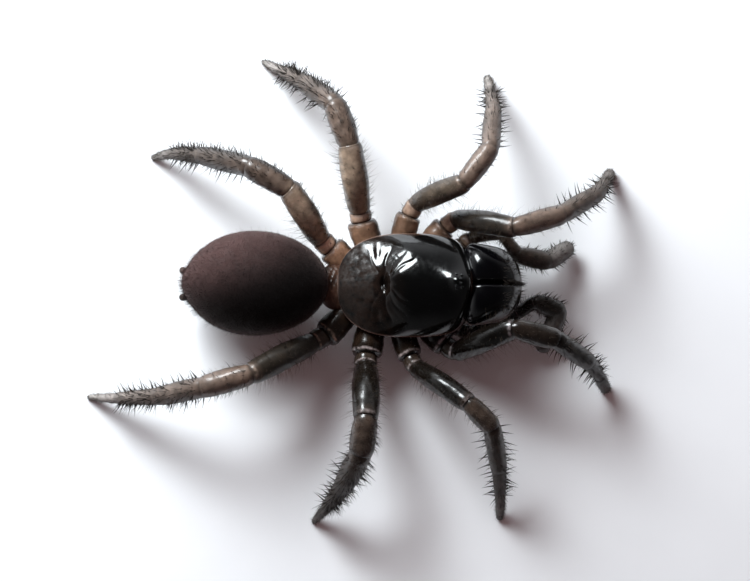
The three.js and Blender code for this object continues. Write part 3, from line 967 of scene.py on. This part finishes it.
def limb_line(joints, segment, share):
    """The middle line at a share of a segment, its direction, and the distances from the segment's two ends.
    A corner is rounded by mixing in the next segment's direction near the joint."""
    spans = np.linalg.norm(np.diff(joints, axis=0), axis=1)
    ways = np.diff(joints, axis=0) / spans[:, None]
    own = ways[segment]
    before = ways[np.maximum(segment - 1, 0)]
    after = ways[np.minimum(segment + 1, len(spans) - 1)]
    from_start = share * spans[segment]
    from_end = (1 - share) * spans[segment]
    bend_in = np.maximum(0, 0.5 - from_start / (2 * KNEE_ROUNDING))[:, None]
    bend_out = np.maximum(0, 0.5 - from_end / (2 * KNEE_ROUNDING))[:, None]
    path = joints[segment] + own * from_start[:, None]
    path = path + KNEE_ROUNDING * (bend_in ** 2 * (own - before) + bend_out ** 2 * (after - own))
    way = unit(own + bend_in * (before - own) + bend_out * (after - own))
    return path, way, from_start, from_end


def limb_skin(name, segment, share, angle):
    """The skin at a share of a segment and an angle round it: the middle line plus the radius along the
    outward direction. The radius runs through the segment's three radii as a parabola, less the necks."""
    radii, joints, stages = limb_parts(name)
    path, way, from_start, from_end = limb_line(joints, segment, share)
    stage = stages[segment]
    inner = segment > 0
    outer = segment < len(radii) - 1
    swell = radii[segment] * np.stack(
        [(1 - share) * (1 - 2 * share), 4 * share * (1 - share), share * (2 * share - 1)], axis=-1)
    neck_in = inner * NECK_DEPTHS[stages[segment - 1]] * np.exp(-(from_start / NECK_WIDTH) ** 2)
    neck_out = outer * NECK_DEPTHS[stage] * np.exp(-(from_end / NECK_WIDTH) ** 2)
    lumps = np.sin(7 * from_start + 2 * angle + 2 * segment) * np.sin(4 * from_start - 3 * angle)
    radius = swell.sum(axis=-1) * (1 - neck_in - neck_out) * (1 + LUMPINESS * lumps)
    root_round = np.where(inner, 1, np.clip(from_start / ROOT_ROUNDING, 0, 1))
    tip_round = np.where(outer, 1, np.clip(from_end / (TIP_ROUNDING * radii[-1, 2]), 0, 1))
    radius = radius * np.sqrt(root_round * (2 - root_round) * tip_round * (2 - tip_round))
    side = unit(np.cross([0, 0, 1], way))
    back = np.cross(way, side)
    arch = ARCHES[stage] * 16 * share ** 2 * (1 - share) ** 2
    path = path + arch[:, None] * back
    outward = side * np.cos(angle)[:, None] + back * np.sin(angle)[:, None]
    points = path + radius[:, None] * outward
    points[:, 2] = np.maximum(points[:, 2], 0)
    rim_width = RIM_WIDTHS[stage] * (RIM_BELOW + (1 - RIM_BELOW) * np.maximum(np.sin(angle), 0))
    rim = np.exp(-((from_end - RIM_INSET - rim_width) / rim_width) ** 4)
    marks = {
        "reach": (stage + share) / len(LEG_STAGES),
        "rim": RIM_STRENGTHS[stage] * outer * rim,
        "gap": np.clip(GAP_GAIN * (neck_in + neck_out), 0, GAP_DARKEST),
        "front": DARK_FRONTS.get(name, 0) * smooth_step(-np.cos(angle), *FRONT_RUN),
    }
    return points, outward, way, marks


def limb_shell(name, rows=26, columns=30):
    """The whole limb as one closed skin: rings lie closer together towards each joint."""
    share = (1 + eased(rows)) / 2
    segments = len(LIMBS[name][-1]) - 1
    angle = turns(columns)
    ring_segment = np.repeat(np.arange(segments), rows * columns)
    ring_share = np.tile(np.repeat(share, columns), segments)
    points, _, _, marks = limb_skin(name, ring_segment, ring_share, np.tile(angle, segments * rows))
    shape = (segments * rows, columns)
    grids = {label: grid.reshape(shape) for label, grid in marks.items()}
    return closed_shell(points.reshape(*shape, 3), grids)


for limb in LIMBS:
    chitin = leg_finish(limb + "_chitin", LIMBS[limb][1])
    add_piece(limb + "_skin", limb_shell(limb), chitin, limb)

# %% [markdown]
# Two rows of dark spines stand out from the sides of the outer segments and lean towards the tip. Among them
# grow thinner dark bristles, and everywhere a fine pale hair: long on the thigh, short on the foot. All of a
# limb's strands are one piece, because they share a finish and differ only in size and tone.

# %% Spines and hair
LEG_SPINES = {4: (0.8, (0.1, 0.25, 0.4, 0.55, 0.7, 0.85)),
              5: (0.72, (0.08, 0.2, 0.32, 0.45, 0.58, 0.7, 0.82, 0.93))}
PALP_SPINES = {4: (0.45, (0.3, 0.6, 0.85)), 5: (0.4, (0.15, 0.3, 0.45, 0.6))}
LEG_BRISTLES = [(4, 0.2, 0.3), (4, 0.2, 0.3), (30, 0.3, 0.6), (60, 0.25, 0.5),
                (130, 0.3, 0.75), (160, 0.3, 0.7), (24, 0.1, 0.22)]
PALP_BRISTLES = [(4, 0.2, 0.3), (4, 0.2, 0.3), (20, 0.2, 0.45), (30, 0.2, 0.45),
                 (60, 0.25, 0.5), (40, 0.15, 0.3)]
BRISTLE_SHARES = {"1": 0.22, "2": 0.25}
LEG_HAIR = [(60, 0.12, 0.3), (40, 0.12, 0.25), (280, 0.3, 1.0), (130, 0.15, 0.5),
            (220, 0.15, 0.4), (260, 0.12, 0.3), (380, 0.08, 0.2)]
PALP_HAIR = [(40, 0.12, 0.3), (30, 0.12, 0.25), (130, 0.2, 0.6), (80, 0.15, 0.4),
             (150, 0.15, 0.35), (300, 0.1, 0.25)]
SPINE_ANGLES = np.radians([-12, 192])
SPINE_WIDTH = 0.038
SPINE_SINK = 0.04
SPINE_SPAN = (0.04, 0.94)
SPINE_SHIFT = 0.03
SPINE_TURN = 0.25
SPINE_LENGTHS = (0.7, 1.1)
SPINE_UPRIGHT = 0.93
SPINE_LEAN = (0.3, 0.2)
SPINE_BEND = 0.12
STRAND_SPAN = (0.06, 0.95)
STRAND_LEAN = (0.1, 0.6)
STRAND_BEND = 0.2
BRISTLE_WIDTH = 0.02
BRISTLE_PALEST = 0.1
BRISTLE_SPREAD = 1.2
HAIR_WIDTH = 0.007
HAIR_SPREAD = 9
CROWDED = {"left": np.radians(125), "right": np.radians(55)}


def spine_strands(name):
    """Spines in pairs along the segments: each leans a little towards the tip and bends on."""
    plan = LEG_SPINES if name.startswith("leg") else PALP_SPINES
    rows = [(segment, share, angle, length) for segment, (length, shares) in plan.items()
            for share in shares for angle in SPINE_ANGLES]
    segment, share, angle, length = (np.array(column) for column in zip(*rows))
    count = len(rows)
    share = np.clip(share + chance.normal(0, SPINE_SHIFT, count), *SPINE_SPAN)
    angle = angle + chance.normal(0, SPINE_TURN, count)
    length = length * chance.uniform(*SPINE_LENGTHS, count)
    roots, outward, way, _ = limb_skin(name, segment, share, angle)
    ways = unit(outward * SPINE_UPRIGHT + way * chance.normal(*SPINE_LEAN, count)[:, None])
    sink = SPINE_SINK * outward
    return strands(roots, ways, way * SPINE_BEND, length, SPINE_WIDTH, np.zeros(count), sink, rows=4, sides=4)


def scattered_strands(name, plan, density, width, palest, spread):
    """Strands at random places on each segment, by its (count, shortest, longest) in the plan and the density:
    they lean and bend towards the tip, and short ones are commoner than long ones. A small spread crowds
    them on the upper front."""
    crowded = CROWDED[name.split("_")[-1]]
    counts = np.array([round(density * count) for count, _, _ in plan])
    segment = np.repeat(np.arange(len(plan)), counts)
    count = len(segment)
    shortest = np.repeat([low for _, low, _ in plan], counts)
    longest = np.repeat([high for _, _, high in plan], counts)
    length = shortest + (longest - shortest) * chance.uniform(0, 1, count) ** 2
    share = chance.uniform(*STRAND_SPAN, count)
    angle = crowded + chance.normal(0, spread, count)
    roots, outward, way, _ = limb_skin(name, segment, share, angle)
    lean = way * chance.uniform(*STRAND_LEAN, count)[:, None]
    ways = unit(outward + lean + chance.normal(0, STRAND_JITTER, (count, 3)))
    return strands(roots, ways, way * STRAND_BEND, length, width, palest * chance.uniform(0, 1, count))


for limb in LIMBS:
    bristle_share = BRISTLE_SHARES.get(limb[4], 1)
    plans = (LEG_BRISTLES, LEG_HAIR) if limb.startswith("leg") else (PALP_BRISTLES, PALP_HAIR)
    # Painted light: hair on a paler, lamp-side limb is painted paler too.
    hair_palest = 0.4 + 0.5 * LIMBS[limb][1][-1]
    limb_strands = [
        spine_strands(limb),
        scattered_strands(limb, plans[0], bristle_share, BRISTLE_WIDTH, BRISTLE_PALEST, BRISTLE_SPREAD),
        scattered_strands(limb, plans[1], 1, HAIR_WIDTH, hair_palest, HAIR_SPREAD),
    ]
    add_piece(limb + "_bristles", joined(limb_strands), bristle_finish)

# %% [markdown]
# Bristles also fringe the front of the jaws, where they help to dig. They grow on the upper front of each jaw
# base and point forwards and down.

# %% Jaw bristles
JAW_BRISTLES = 170
TUFT_ALONG = (0.3, 0.97)
TUFT_ANGLES = (0.1 * np.pi, 0.9 * np.pi)
TUFT_AHEAD = [0.7, 0, 0.1]
TUFT_BEND = [0.15, 0, -0.2]
TUFT_LENGTHS = (0.15, 0.42)
TUFT_WIDTH = 0.016
TUFT_PALEST = 0.08

for side, side_name in SIDES:
    tuft_along = chance.uniform(*TUFT_ALONG, JAW_BRISTLES)
    tuft_angle = chance.uniform(*TUFT_ANGLES, JAW_BRISTLES)
    tuft_roots = jaw_surface(tuft_along, np.cos(tuft_angle), np.sin(tuft_angle), side)
    tuft_middle = np.array([JAW.middle_x, side * JAW.width / 2, JAW.middle_z])
    tuft_out = unit(tuft_roots - tuft_middle)
    tuft_ways = unit(tuft_out + TUFT_AHEAD + chance.normal(0, STRAND_JITTER, (JAW_BRISTLES, 3)))
    tuft_lengths = chance.uniform(*TUFT_LENGTHS, JAW_BRISTLES)
    tuft_tones = chance.uniform(0, TUFT_PALEST, JAW_BRISTLES)
    tuft_shell = strands(tuft_roots, tuft_ways, TUFT_BEND, tuft_lengths, TUFT_WIDTH, tuft_tones)
    add_piece("jaw_bristles_" + side_name, tuft_shell, bristle_finish)

# %% End
print("scene built")
